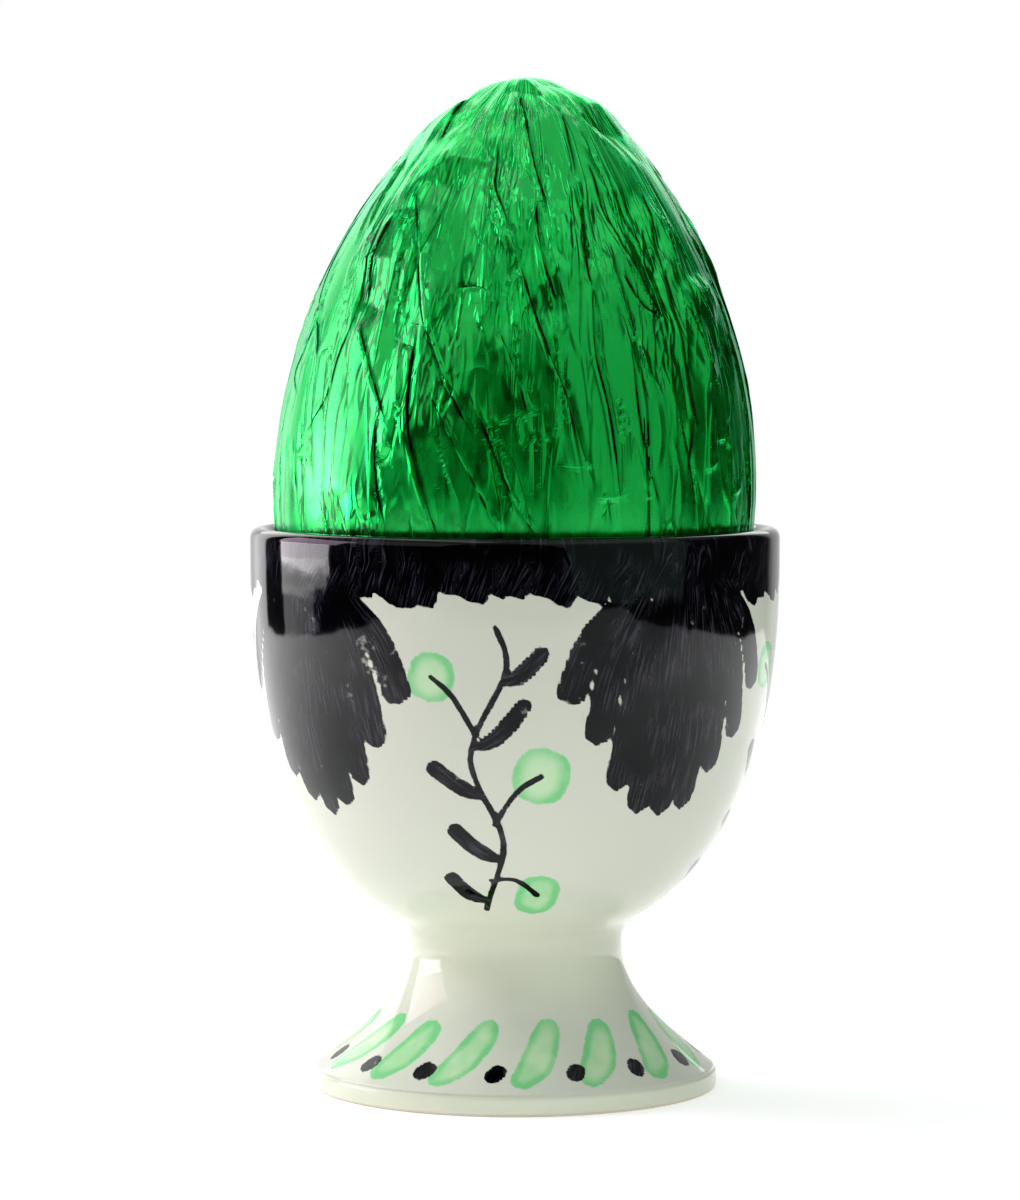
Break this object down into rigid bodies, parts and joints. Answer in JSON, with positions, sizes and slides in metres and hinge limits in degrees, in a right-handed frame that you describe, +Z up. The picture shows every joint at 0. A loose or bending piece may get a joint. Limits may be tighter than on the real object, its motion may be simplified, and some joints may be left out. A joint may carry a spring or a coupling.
{
  "type": "foil-wrapped chocolate egg in an egg cup",
  "caption": "Chocolate egg in crinkled green foil, standing blunt end down in a glazed ceramic egg cup with a flared foot, a black rim and brushed mint green leaves.",
  "frame": {"origin": "centre of the underside of the cup's foot, on the surface that it stands on", "axes": "+Z up along the cup's axis, -Y towards the side that the picture shows, +X to the viewer's right, which is the way that the egg leans"},
  "size_m": [0.05, 0.05, 0.0954],
  "materials": {
    "green_foil": "satin green lacquer over thin crinkled foil",
    "white_glaze": "glossy off-white glaze over black and mint green brushwork"
  },
  "bodies": {
    "root": {"foil_egg": "green_foil", "egg_cup": "white_glaze"}
  },
  "joints": []
}
